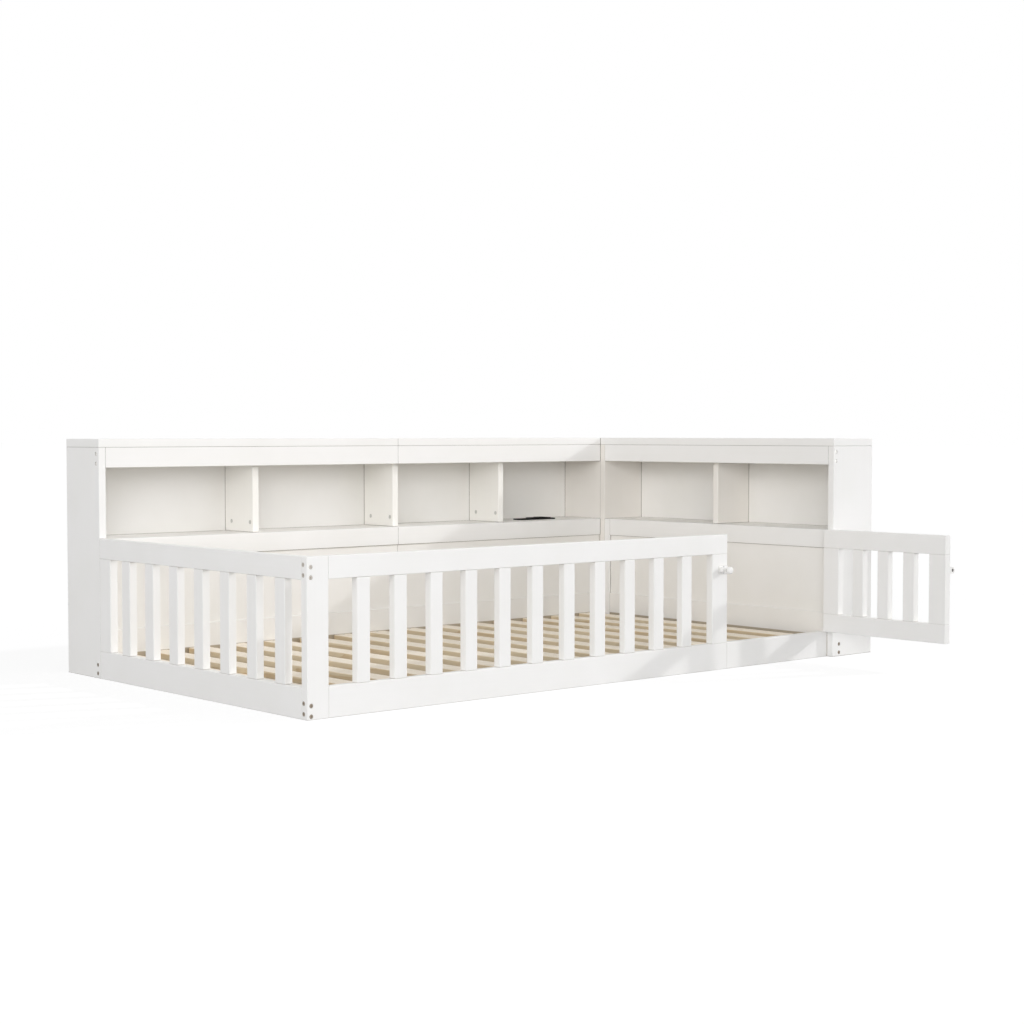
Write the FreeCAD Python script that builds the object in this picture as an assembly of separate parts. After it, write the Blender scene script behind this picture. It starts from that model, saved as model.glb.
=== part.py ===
import FreeCAD, Part
import os
from FreeCAD import Vector

# A white floor bed for one sleeper: a slatted fence with a hinged gate on the foot end and the front,
# and a long bookcase behind plus a short one at the head. Millimetres, +Z up. The boards are placed
# from the front left floor corner of the fence, X along the front and Y to the back, and the whole
# part is moved at the end so that its origin is the middle of its box, on the floor.
# The gate is drawn open, square to the front.

# Driving sizes: the bed well, the bookcases around it and the fence
well_length = 1953.0
well_width = 1002.0
bookcase_depth = 192.0
bookcase_height = 684.0
fence_height = 400.0
front_fence_length = 1512.0
module_length = 1073.0

# Bookcase boards
case_board = 22.0
top_board = 24.0
apron_height = 58.0
shelf_top = 398.0
shelf_board = 18.0
shelf_rail_height = 57.0
base_board_height = 137.0
wall_setback = 5.0
divider_setback = 30.0
back_panel = 6.0
back_rebate = 2.0
corner_stile_width = 26.0
stretcher_board = 20.0
stretcher_height = 60.0

# Fence and gate boards
fence_board = 24.0
top_rail_height = 57.0
bottom_rail_height = 78.5
post_width = 64.5
rear_stile_width = 60.0
front_slat_width = 40.0
left_slat_width = 44.0
fence_slat_thickness = 23.0
front_slat_count = 11
front_end_gap = 87.6
left_slat_count = 7
left_front_gap = 72.5
left_rear_gap = 64.5
gate_stile_width = 58.5
gate_slat_count = 3
gate_slats_share = 0.36
gate_rail_height = 57.0
gate_sill_gap = 1.5
gate_latch_gap = 1.5
gate_proud = 3.0
tenon_depth = 10.0
tenon_shoulder_share = 0.2
tenon_clearance = 0.2

# Bed base
slat_top = 67.0
slat_thickness = 18.0
slat_width = 62.0
slat_count = 15
slat_first_gap = 0.5
slat_last_gap = 46.0
slat_end_clearance = 2.0
ledger_width = 25.0
ledger_height = 30.0
centre_support_width = 40.0
slat_screw_inset = 12.0

# Edges, cuts and fits
edge_round = 1.5
slat_edge_round = 3.0
fence_slat_round = 2.0
small_round = 0.6
cut_overrun = 5.0
fit_clearance = 0.3

# Bolts with barrel nuts, which hold the corner post and the end panels
bolt_radius = 2.5
bolt_head_radius = 5.4
bolt_head_height = 4.0
bolt_socket_radius = 2.3
bolt_socket_depth = 2.5
bolt_sink = 5.0
bolt_bore_radius = 5.8
bolt_grip = 42.0
bolt_tip = 9.0
nut_radius = 4.0
nut_length = 12.0
thread_clearance = 0.05
bolt_crossing_clearance = 0.4
panel_bolt_inset = 15.0
edge_bolt_share = 0.66
bottom_rail_bolt_shares = (0.145, 0.48)
top_rail_bolt_shares = (0.15, 0.605)
apron_bolt_shares = (0.20, 0.69)
base_bolt_shares = (0.10, 0.28)
stretcher_bolt_shares = (0.20, 0.64)

# Cam fittings that stand the dividers on the shelves
cam_radius = 6.0
cam_depth = 10.0
cam_rise = 31.0
cam_slot_width = 1.6
cam_slot_depth = 1.5
cam_bolt_radius = 3.0
cam_bolt_seat = 9.0
cam_clearance = 0.2
cam_shares = (0.10, 0.77)

# Wood screws
slat_screw_radius = 2.0
slat_screw_head_radius = 4.0
slat_screw_length = 36.0
small_screw_radius = 1.4
small_screw_head_radius = 2.8
small_screw_length = 14.0
screw_head_share = 0.42

# Butt hinges between the end panel's edge and the gate's outer face
hinge_shares = (0.15, 0.85)
leaf_height = 50.0
leaf_width = 18.0
leaf_thickness = 1.4
leaf_gap = 0.4
pin_offset = 3.8
barrel_radius = 3.4
pin_radius = 1.75
pin_clearance = 0.05
pin_head_radius = 2.8
pin_head_height = 1.5
knuckle_gap = 0.4
hinge_edge_gap = 4.0
knuckle_shares = (0.0, 0.33, 0.67, 1.0)
leaf_screw_shares = (0.2, 0.8)

# Slide bolt on the end post, with its eye on the gate
latch_height = 296.0
latch_plate_height = 24.0
latch_plate_thickness = 2.0
latch_plate_margin = 2.0
latch_rod_radius = 4.0
latch_rod_standoff = 18.0
latch_travel = 11.0
latch_guide_length = 3.5
latch_guide_wall = 2.5
latch_peg_radius = 8.0
latch_peg_round = 2.0
latch_reach = 40.0
latch_screw_share = 0.34
keeper_length = 12.0
keeper_wall = 5.0
keeper_eye_radius = 5.0
keeper_edge_inset = 2.0
keeper_plate_height = 40.0
keeper_plate_thickness = 2.0
keeper_screw_share = 0.37

# Power unit let into the shelf of the last bay
power_length = 160.0
power_width = 45.0
power_flange = 4.5
power_lip = 8.0
power_body_depth = 38.0
power_centre_share = 0.48
power_setback = 79.0
power_corner_round = 3.0
power_socket_length = 85.0
power_socket_width = 36.0
power_socket_height = 2.5
power_socket_shift = 19.0
power_usb_length = 33.0
power_usb_width = 18.0
power_usb_height = 1.8
power_usb_shift = 1.0
outlet_shift = 27.0
outlet_slot_length = 8.0
outlet_slot_width = 2.2
outlet_slot_spread = 12.7
outlet_earth_radius = 2.4
outlet_earth_drop = 9.0
outlet_depth = 2.0
usb_slot_length = 8.9
usb_slot_width = 3.2
usb_slot_pitch = 14.0
usb_slot_depth = 1.2
gland_radius = 5.0
gland_length = 10.0

# Planes that several boards share
well_left = fence_board
well_front = fence_board
case_front_x = well_left + well_length
case_front_y = well_front + well_width
case_back_x = case_front_x + bookcase_depth
case_back_y = case_front_y + bookcase_depth
top_underside = bookcase_height - top_board
apron_bottom = top_underside - apron_height
shelf_underside = shelf_top - shelf_board
shelf_rail_bottom = shelf_top - shelf_rail_height
panel_front_x = case_back_x - back_rebate - back_panel
panel_front_y = case_back_y - back_rebate - back_panel
end_panel_front = -case_board
rear_panel_front = case_front_y - case_board
back_case_end = case_front_x + case_board
top_rail_bottom = fence_height - top_rail_height
slat_underside = slat_top - slat_thickness
stile_front = case_front_y - rear_stile_width
end_post_left = front_fence_length - post_width
corner_stile_front = rear_panel_front - corner_stile_width

# The gate's hinge line and its open and closed places; shut, it stands a little proud of the fence
gate_face_x = case_front_x - leaf_thickness - leaf_thickness - leaf_gap
pin_x = case_front_x - pin_offset
pin_y = gate_face_x - pin_x - gate_proud
gate_hinge_edge = pin_y - hinge_edge_gap
gate_length = pin_x - hinge_edge_gap - front_fence_length - gate_latch_gap
gate_free_edge = gate_hinge_edge - gate_length
gate_bottom = bottom_rail_height + gate_sill_gap
gate_inner_x = gate_face_x - fence_board

X_AXIS = Vector(1, 0, 0)
Y_AXIS = Vector(0, 1, 0)
Z_AXIS = Vector(0, 0, 1)

nodes = {}


def add(name, *solids):
    """Puts solids into the named node."""
    nodes.setdefault(name, []).extend(solids)


def block(x, y, z):
    """A plain box over the spans x, y and z, each a low and a high value."""
    return Part.makeBox(x[1] - x[0], y[1] - y[0], z[1] - z[0], Vector(x[0], y[0], z[0]))


def board(x, y, z, radius=edge_round):
    """A sanded board over three spans, with all its edges rounded."""
    box = block(x, y, z)
    return box.makeFillet(radius, box.Edges)


def rod(start, direction, radius, length):
    """A round bar from a start point along a direction."""
    return Part.makeCylinder(radius, length, start, direction)


def along(start, direction, distance):
    """The point at a distance from a start point, along a direction."""
    return start + direction * distance


def fuse_all(first, *others):
    """One solid from several that touch or overlap."""
    return first.multiFuse(list(others)).removeSplitter().Solids[0]


def cut_node(name, *cutters):
    """Cuts shapes out of the solids of a node."""
    nodes[name] = [solid.cut(list(cutters)).Solids[0] for solid in nodes[name]]


def tenoned(x, y, z, radius=edge_round):
    """An upright over three spans with a tenon on each end, and the cutter for its mortises."""
    shoulder_x = (x[1] - x[0]) * tenon_shoulder_share
    shoulder_y = (y[1] - y[0]) * tenon_shoulder_share
    tenon_x = (x[0] + shoulder_x, x[1] - shoulder_x)
    tenon_y = (y[0] + shoulder_y, y[1] - shoulder_y)
    tenon_z = (z[0] - tenon_depth, z[1] + tenon_depth)
    upright = fuse_all(board(x, y, z, radius), block(tenon_x, tenon_y, tenon_z))
    spans = (tenon_x, tenon_y, tenon_z)
    mortise = block(*[(low - tenon_clearance, high + tenon_clearance) for low, high in spans])
    return upright, mortise


def bolt_joint(outer, inner, face_point, direction, outer_run, nut_axis):
    """Bolts an outer board to the end of an inner one: bolt, barrel nut and the holes for both.

    face_point lies on the outer board's face, direction points into it, and outer_run is how far
    the bolt goes through that board before it meets the inner one."""
    head_seat = along(face_point, direction, bolt_sink)
    head_top = along(head_seat, direction, -bolt_head_height)
    nut_distance = outer_run - bolt_sink + bolt_grip
    shank_length = nut_distance + bolt_tip
    bolt = fuse_all(rod(head_top, direction, bolt_head_radius, bolt_head_height),
                    rod(head_seat, direction, bolt_radius, shank_length))
    bolt = bolt.cut(rod(head_top, direction, bolt_socket_radius, bolt_socket_depth))
    nut_centre = along(head_seat, direction, nut_distance)
    nut_start = along(nut_centre, nut_axis, -nut_length / 2)
    thread = rod(head_seat, direction, bolt_radius + thread_clearance, shank_length)
    nut = rod(nut_start, nut_axis, nut_radius, nut_length).cut(thread)
    mouth = along(face_point, direction, -cut_overrun)
    sink = rod(mouth, direction, bolt_bore_radius, bolt_sink + cut_overrun)
    shank_hole = rod(head_seat, direction, bolt_radius + fit_clearance, shank_length + bolt_radius)
    nut_hole_start = along(nut_start, nut_axis, -fit_clearance)
    nut_hole = rod(nut_hole_start, nut_axis, nut_radius + fit_clearance, nut_length + case_board)
    cut_node(outer, sink, shank_hole)
    cut_node(inner, shank_hole, nut_hole)
    add("frame_bolts", bolt.Solids[0])
    add("barrel_nuts", nut.Solids[0])


def wood_screw(point, direction, radius, head_radius, length):
    """A countersunk screw whose head lies flush at a point, and the cutter for its hole."""
    head_height = head_radius * screw_head_share
    screw = fuse_all(Part.makeCone(head_radius, radius, head_height, point, direction),
                     rod(point, direction, radius, length))
    mouth = along(point, direction, -cut_overrun)
    hole = fuse_all(
        Part.makeCone(head_radius + fit_clearance, radius + fit_clearance, head_height, point, direction),
        rod(mouth, direction, head_radius + fit_clearance, cut_overrun),
        rod(point, direction, radius + fit_clearance, length + fit_clearance))
    return screw, hole


# Long bookcase behind the bed: two lengths that meet at a seam
def back_bookcase():
    front = (case_front_y, case_front_y + case_board)
    inside = (front[1], panel_front_y)
    depth = (case_front_y, case_back_y)
    lengths = {"left": (case_board, module_length), "right": (module_length, case_front_x)}
    tops = {"left": (0, module_length), "right": (module_length, back_case_end)}
    for side, span in lengths.items():
        add(f"back_{side}_top_board", board(tops[side], depth, (top_underside, bookcase_height)))
        add(f"back_{side}_apron", board(span, front, (apron_bottom, top_underside)))
        add(f"back_{side}_shelf", board(span, inside, (shelf_underside, shelf_top)))
        add(f"back_{side}_shelf_rail", board(span, front, (shelf_rail_bottom, shelf_top)))
        add("back_wall_panels", board(span, (case_front_y + wall_setback, front[1]),
                                      (base_board_height, shelf_rail_bottom)))
        add("back_base_boards", board(span, front, (0, base_board_height)))
        add("back_panels", board(span, (panel_front_y, panel_front_y + back_panel), (0, top_underside)))
    upright = (0, top_underside)
    add("back_left_end_panel", board((0, case_board), depth, upright))
    add("back_right_end_panel", board((case_front_x, back_case_end), depth, upright))
    divider_y = (case_front_y + divider_setback, panel_front_y)
    divider_z = (shelf_top, top_underside)
    left_middle = (case_board + module_length) / 2
    right_middle = (module_length + case_board + case_front_x) / 2
    add("back_left_divider", board((left_middle - case_board / 2, left_middle + case_board / 2),
                                   divider_y, divider_z))
    add("back_right_divider", board((right_middle - case_board / 2, right_middle + case_board / 2),
                                    divider_y, divider_z))
    add("back_middle_upright", board((module_length, module_length + case_board), divider_y, divider_z))
    leg_z = (0, shelf_underside)
    add("leg_panels", board((module_length - case_board, module_length), inside, leg_z),
        board((module_length, module_length + case_board), inside, leg_z))


# Short bookcase at the head, square to the long one
def side_bookcase():
    front = (case_front_x, case_front_x + case_board)
    inside = (front[1], panel_front_x)
    depth = (case_front_x, case_back_x)
    span = (0, rear_panel_front)
    lower = (0, corner_stile_front)
    upright = (0, top_underside)
    add("side_front_end_panel", board(depth, (end_panel_front, 0), upright))
    add("side_rear_end_panel", board(depth, (rear_panel_front, case_front_y), upright))
    add("side_top_board", board(depth, (end_panel_front, case_front_y), (top_underside, bookcase_height)))
    add("side_apron", board(front, span, (apron_bottom, top_underside)))
    add("side_shelf", board(inside, span, (shelf_underside, shelf_top)))
    add("side_shelf_rail", board(front, lower, (shelf_rail_bottom, shelf_top)))
    add("side_wall_panel", board((case_front_x + wall_setback, front[1]), lower,
                                 (base_board_height, shelf_rail_bottom)))
    add("side_base_board", board(front, lower, (0, base_board_height)))
    add("corner_stile", board(front, (corner_stile_front, rear_panel_front), (0, shelf_top)))
    add("side_back_panel", board((panel_front_x, panel_front_x + back_panel), span, upright))
    stretcher_x = (front[1], front[1] + stretcher_board)
    add("side_floor_stretcher", board(stretcher_x, span, (0, stretcher_height)))
    middle = rear_panel_front / 2
    divider_y = (middle - case_board / 2, middle + case_board / 2)
    add("side_divider", board((case_front_x + divider_setback, panel_front_x), divider_y,
                              (shelf_top, top_underside)))
    add("leg_panels", board((stretcher_x[1], panel_front_x), divider_y, (0, shelf_underside)))


# Slatted fence along the front and the foot end, with the low rail under the gateway
def fence():
    rail_y = (0, fence_board)
    rail_x = (0, fence_board)
    low = (0, bottom_rail_height)
    high = (top_rail_bottom, fence_height)
    between = (bottom_rail_height, top_rail_bottom)
    add("corner_post", board((0, post_width), rail_y, (0, fence_height)))
    add("front_top_rail", board((post_width, front_fence_length), rail_y, high))
    add("front_bottom_rail", board((post_width, front_fence_length), rail_y, low))
    add("gate_sill_rail", board((front_fence_length, case_front_x), rail_y, low))
    add("left_top_rail", board(rail_x, (fence_board, case_front_y), high))
    add("left_bottom_rail", board(rail_x, (fence_board, case_front_y), low))
    inset = (fence_board - fence_slat_thickness) / 2
    slat_band = (inset, fence_board - inset)

    post, mortise = tenoned((end_post_left, front_fence_length), rail_y, between)
    add("front_end_post", post)
    front_cutters = [mortise]
    first = post_width + front_end_gap + front_slat_width / 2
    last = end_post_left - front_end_gap - front_slat_width / 2
    for index in range(front_slat_count):
        middle = first + (last - first) * index / (front_slat_count - 1)
        span = (middle - front_slat_width / 2, middle + front_slat_width / 2)
        slat, mortise = tenoned(span, slat_band, between, fence_slat_round)
        add("front_fence_slats", slat)
        front_cutters.append(mortise)
    cut_node("front_top_rail", *front_cutters)
    cut_node("front_bottom_rail", *front_cutters)

    stile, mortise = tenoned(rail_x, (stile_front, case_front_y), between)
    add("left_rear_stile", stile)
    left_cutters = [mortise]
    first = fence_board + left_front_gap + left_slat_width / 2
    last = stile_front - left_rear_gap - left_slat_width / 2
    for index in range(left_slat_count):
        middle = first + (last - first) * index / (left_slat_count - 1)
        span = (middle - left_slat_width / 2, middle + left_slat_width / 2)
        slat, mortise = tenoned(slat_band, span, between, fence_slat_round)
        add("left_fence_slats", slat)
        left_cutters.append(mortise)
    cut_node("left_top_rail", *left_cutters)
    cut_node("left_bottom_rail", *left_cutters)


# Bed base: ledgers on the rails, a support down the middle, and pine slats across
def bed_base():
    ledger_z = (slat_underside - ledger_height, slat_underside)
    run = (well_left, case_front_x)
    add("slat_ledgers", board(run, (well_front, well_front + ledger_width), ledger_z),
        board(run, (case_front_y - ledger_width, case_front_y), ledger_z))
    middle = well_front + well_width / 2
    add("centre_support", board(run, (middle - centre_support_width / 2, middle + centre_support_width / 2),
                                (0, slat_underside)))
    first = well_left + slat_first_gap
    last = case_front_x - slat_last_gap - slat_width
    slat_y = (well_front + slat_end_clearance, case_front_y - slat_end_clearance)
    holes = []
    for index in range(slat_count):
        left = first + (last - first) * index / (slat_count - 1)
        slat_x = (left, left + slat_width)
        add("bed_slats", board(slat_x, slat_y, (slat_underside, slat_top), slat_edge_round))
        for y in (well_front + slat_screw_inset, case_front_y - slat_screw_inset):
            screw, hole = wood_screw(Vector(left + slat_width / 2, y, slat_top), -Z_AXIS,
                                     slat_screw_radius, slat_screw_head_radius, slat_screw_length)
            add("wood_screws", screw)
            holes.append(hole)
    cut_node("bed_slats", *holes)
    cut_node("slat_ledgers", *holes)


# Gate, drawn open: its rails run along Y, its outer face looks along +X
def gate():
    thickness = (gate_inner_x, gate_face_x)
    length = (gate_free_edge, gate_hinge_edge)
    low = (gate_bottom, gate_bottom + gate_rail_height)
    high = (fence_height - gate_rail_height, fence_height)
    between = (low[1], high[0])
    add("gate_bottom_rail", board(thickness, length, low))
    add("gate_top_rail", board(thickness, length, high))
    cutters = []
    for span in ((length[0], length[0] + gate_stile_width), (length[1] - gate_stile_width, length[1])):
        stile, mortise = tenoned(thickness, span, between)
        add("gate_stiles", stile)
        cutters.append(mortise)
    inset = (fence_board - fence_slat_thickness) / 2
    slat_band = (thickness[0] + inset, thickness[1] - inset)
    opening = gate_length - gate_stile_width - gate_stile_width
    width = opening * gate_slats_share / gate_slat_count
    gap = opening * (1 - gate_slats_share) / (gate_slat_count + 1)
    for index in range(gate_slat_count):
        start = length[0] + gate_stile_width + gap + (width + gap) * index
        slat, mortise = tenoned(slat_band, (start, start + width), between, fence_slat_round)
        add("gate_slats", slat)
        cutters.append(mortise)
    cut_node("gate_bottom_rail", *cutters)
    cut_node("gate_top_rail", *cutters)


# Two butt hinges: leaf and outer knuckles on the end panel, leaf and middle knuckle on the gate
def hinges():
    leaf_y = pin_y - barrel_radius - knuckle_gap
    gate_span = fence_height - gate_bottom
    fixed_x = (case_front_x - leaf_thickness, case_front_x)
    moving_x = (gate_face_x, gate_face_x + leaf_thickness)
    for share in hinge_shares:
        bottom = gate_bottom + gate_span * share - leaf_height / 2
        cuts = [bottom + leaf_height * part for part in knuckle_shares]
        pin_foot = Vector(pin_x, pin_y, bottom)
        bore = rod(pin_foot, Z_AXIS, pin_radius + pin_clearance, leaf_height)
        whole = (bottom, bottom + leaf_height)
        knuckles = []
        for low, high in ((cuts[0], cuts[1]), (cuts[2], cuts[3])):
            knuckles.append(rod(Vector(pin_x, pin_y, low), Z_AXIS, barrel_radius, high - low))
            knuckles.append(block(fixed_x, (leaf_y, pin_y), (low, high)))
        fixed = fuse_all(block(fixed_x, (pin_y - leaf_width, leaf_y), whole), *knuckles).cut(bore)
        inner = (cuts[1] + knuckle_gap, cuts[2] - knuckle_gap)
        barrel = rod(Vector(pin_x, pin_y, inner[0]), Z_AXIS, barrel_radius, inner[1] - inner[0])
        tongue = block(moving_x, (leaf_y, pin_y), inner)
        moving = fuse_all(block(moving_x, (pin_y - leaf_width, leaf_y), whole), barrel, tongue).cut(bore)
        fixed_holes = []
        moving_holes = []
        for part in leaf_screw_shares:
            height = bottom + leaf_height * part
            middle = (leaf_y + pin_y - leaf_width) / 2
            screw, hole = wood_screw(Vector(fixed_x[0], middle, height), X_AXIS,
                                     small_screw_radius, small_screw_head_radius, small_screw_length)
            add("wood_screws", screw)
            fixed_holes.append(hole)
            screw, hole = wood_screw(Vector(moving_x[1], middle, height), -X_AXIS,
                                     small_screw_radius, small_screw_head_radius, small_screw_length)
            add("gate_screws", screw)
            moving_holes.append(hole)
        add("hinge_fixed_leaves", fixed.cut(fixed_holes).Solids[0])
        add("hinge_gate_leaves", moving.cut(moving_holes).Solids[0])
        cut_node("side_front_end_panel", *fixed_holes)
        for name in ("gate_stiles", "gate_bottom_rail", "gate_top_rail"):
            cut_node(name, *moving_holes)
        head = rod(Vector(pin_x, pin_y, whole[1]), Z_AXIS, pin_head_radius, pin_head_height)
        add("hinge_pins", fuse_all(rod(pin_foot, Z_AXIS, pin_radius, leaf_height), head))


# Slide bolt: plate with two guides on the end post, rod with its peg, and the eye on the gate
def latch():
    plate_right = front_fence_length
    front_guide = (plate_right - latch_guide_length, plate_right)
    play = fit_clearance + fit_clearance
    peg_x = front_guide[0] - latch_travel - latch_peg_radius - play
    rear_end = peg_x - latch_peg_radius - play
    rear_guide = (rear_end - latch_guide_length, rear_end)
    plate_left = rear_guide[0] - latch_plate_margin
    plate_z = (latch_height - latch_plate_height / 2, latch_height + latch_plate_height / 2)
    plate = block((plate_left, plate_right), (-latch_plate_thickness, 0), plate_z)
    plate = plate.makeFillet(small_round, plate.Edges)
    axis_y = -latch_rod_standoff
    guide_reach = latch_rod_radius + latch_guide_wall
    guide_y = (axis_y - guide_reach, -latch_plate_thickness + small_round)
    guide_z = (latch_height - guide_reach, latch_height + guide_reach)
    guides = []
    for span in (rear_guide, front_guide):
        guide = block(span, guide_y, guide_z)
        guides.append(guide.makeFillet(small_round, guide.Edges))
    rod_start = Vector(rear_end - latch_travel - latch_plate_margin, axis_y, latch_height)
    rod_length = plate_right - rod_start.x
    bore = rod(along(rod_start, X_AXIS, -cut_overrun), X_AXIS, latch_rod_radius + fit_clearance,
               rod_length + cut_overrun + cut_overrun)
    body = fuse_all(plate, *guides).cut(bore)
    holes = []
    middle_x = (rear_guide[1] + front_guide[0]) / 2
    for sign in (-1, 1):
        height = latch_height + sign * latch_plate_height * latch_screw_share
        screw, hole = wood_screw(Vector(middle_x, -latch_plate_thickness, height), Y_AXIS,
                                 small_screw_radius, small_screw_head_radius, small_screw_length)
        add("wood_screws", screw)
        holes.append(hole)
    add("latch_plate", body.cut(holes).Solids[0])
    for name in ("front_end_post", "front_bottom_rail", "front_top_rail"):
        cut_node(name, *holes)

    shaft = rod(rod_start, X_AXIS, latch_rod_radius, rod_length)
    shaft = shaft.makeFillet(small_round, shaft.Edges)
    peg_back = latch_plate_thickness + play
    peg = rod(Vector(peg_x, -peg_back, latch_height), -Y_AXIS, latch_peg_radius, latch_reach - peg_back)
    peg = peg.makeFillet(latch_peg_round, peg.Edges)
    add("latch_bolt", fuse_all(shaft, peg))

    eye_y = (gate_free_edge + keeper_edge_inset, gate_free_edge + keeper_edge_inset + keeper_length)
    eye_x = gate_face_x + latch_rod_standoff - gate_proud
    reach = keeper_eye_radius + keeper_wall
    loop = block((gate_face_x, eye_x), eye_y, (latch_height - reach, latch_height + reach))
    nose = rod(Vector(eye_x, eye_y[0], latch_height), Y_AXIS, reach, keeper_length)
    half = keeper_plate_height / 2
    foot_x = (gate_face_x, gate_face_x + keeper_plate_thickness)
    foot = block(foot_x, eye_y, (latch_height - half, latch_height + half))
    foot = foot.makeFillet(small_round, foot.Edges)
    eye = rod(Vector(eye_x, eye_y[0] - cut_overrun, latch_height), Y_AXIS, keeper_eye_radius,
              keeper_length + cut_overrun + cut_overrun)
    keeper = fuse_all(loop, nose, foot).cut(eye)
    holes = []
    for sign in (-1, 1):
        height = latch_height + sign * keeper_plate_height * keeper_screw_share
        screw, hole = wood_screw(Vector(foot_x[1], (eye_y[0] + eye_y[1]) / 2, height), -X_AXIS,
                                 small_screw_radius, small_screw_head_radius, small_screw_length)
        add("gate_screws", screw)
        holes.append(hole)
    add("latch_keeper", keeper.cut(holes).Solids[0])
    for name in ("gate_stiles", "gate_bottom_rail", "gate_top_rail"):
        cut_node(name, *holes)


# Black power unit in the shelf of the bay next to the corner
def power_unit():
    right_middle = (module_length + case_board + case_front_x) / 2
    bay = (right_middle + case_board / 2, case_front_x)
    middle_x = bay[0] + (bay[1] - bay[0]) * power_centre_share
    front = case_front_y + power_setback
    half = power_length / 2
    flange_x = (middle_x - half, middle_x + half)
    flange_y = (front, front + power_width)
    middle_y = front + power_width / 2
    top = shelf_top + power_flange
    flange = block(flange_x, flange_y, (shelf_top, top))
    corners = [edge for edge in flange.Edges if abs(edge.tangentAt(edge.FirstParameter).z) > 1 / 2]
    flange = flange.makeFillet(power_corner_round, corners)
    rim = [edge for edge in flange.Edges if edge.BoundBox.ZMin > shelf_top + power_flange / 2]
    flange = flange.makeFillet(power_flange / 3, rim)
    body_x = (flange_x[0] + power_lip, flange_x[1] - power_lip)
    body_y = (flange_y[0] + power_lip, flange_y[1] - power_lip)
    body_bottom = shelf_top - power_body_depth
    body = block(body_x, body_y, (body_bottom, shelf_top + power_flange / 2))
    gland = rod(Vector(body_x[1] - power_lip, middle_y, body_bottom), -Z_AXIS, gland_radius, gland_length)
    add("power_unit_body", fuse_all(flange, body, gland))
    hole = block((body_x[0] - fit_clearance, body_x[1] + fit_clearance),
                 (body_y[0] - fit_clearance, body_y[1] + fit_clearance),
                 (body_bottom - cut_overrun, shelf_top + cut_overrun))
    cut_node("back_right_shelf", hole)

    socket_middle = middle_x + power_socket_shift
    socket_x = (socket_middle - power_socket_length / 2, socket_middle + power_socket_length / 2)
    socket_y = (middle_y - power_socket_width / 2, middle_y + power_socket_width / 2)
    socket_top = top + power_socket_height
    insert = block(socket_x, socket_y, (top, socket_top))
    insert = insert.makeFillet(small_round, insert.Edges)
    usb_middle = socket_middle + power_usb_shift
    slots = []
    outlet_x = socket_middle + outlet_shift
    for side in (-1, 1):
        slot_y = middle_y + side * outlet_slot_spread / 2
        slots.append(block((outlet_x - outlet_slot_length / 2, outlet_x + outlet_slot_length / 2),
                           (slot_y - outlet_slot_width / 2, slot_y + outlet_slot_width / 2),
                           (socket_top - outlet_depth, socket_top + cut_overrun)))
    earth = Vector(outlet_x + outlet_earth_drop, middle_y, socket_top - outlet_depth)
    slots.append(rod(earth, Z_AXIS, outlet_earth_radius, outlet_depth + cut_overrun))
    add("power_socket_insert", insert.cut(slots).Solids[0])

    usb_x = (usb_middle - power_usb_length / 2, usb_middle + power_usb_length / 2)
    usb_y = (middle_y - power_usb_width / 2, middle_y + power_usb_width / 2)
    usb_top = socket_top + power_usb_height
    module = block(usb_x, usb_y, (socket_top, usb_top))
    module = module.makeFillet(small_round, module.Edges)
    ports = []
    for side in (-1, 1):
        port_x = usb_middle + side * usb_slot_pitch / 2
        ports.append(block((port_x - usb_slot_width / 2, port_x + usb_slot_width / 2),
                           (middle_y - usb_slot_length / 2, middle_y + usb_slot_length / 2),
                           (usb_top - usb_slot_depth, usb_top + cut_overrun)))
    add("power_usb_module", module.cut(ports).Solids[0])


# Bolts through the corner post and through the two outer end panels
def bolted_joints():
    rails = (((0, bottom_rail_height), bottom_rail_bolt_shares, "bottom"),
             ((top_rail_bottom, fence_height), top_rail_bolt_shares, "top"))
    middle = fence_board / 2
    edge_y = fence_board * edge_bolt_share
    stagger = bolt_radius + bolt_crossing_clearance / 2
    for (low, high), shares, level in rails:
        for share in shares:
            height = low + (high - low) * share
            bolt_joint("corner_post", f"left_{level}_rail", Vector(middle, 0, height - stagger),
                       Y_AXIS, fence_board, X_AXIS)
            bolt_joint("corner_post", f"front_{level}_rail", Vector(0, edge_y, height + stagger),
                       X_AXIS, post_width, Y_AXIS)
    for share in apron_bolt_shares:
        height = apron_bottom + apron_height * share
        bolt_joint("back_left_end_panel", "back_left_apron",
                   Vector(0, case_front_y + panel_bolt_inset, height), X_AXIS, case_board, Y_AXIS)
        point = Vector(case_front_x + case_board / 2, end_panel_front, height)
        bolt_joint("side_front_end_panel", "side_apron", point, Y_AXIS, case_board, X_AXIS)
    stretcher_x = case_front_x + case_board + stretcher_board / 2
    for base_share, stretcher_share in zip(base_bolt_shares, stretcher_bolt_shares):
        point = Vector(0, case_front_y + panel_bolt_inset, base_board_height * base_share)
        bolt_joint("back_left_end_panel", "back_base_boards", point, X_AXIS, case_board, Y_AXIS)
        point = Vector(stretcher_x, end_panel_front, stretcher_height * stretcher_share)
        bolt_joint("side_front_end_panel", "side_floor_stretcher", point, Y_AXIS, case_board, X_AXIS)


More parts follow.
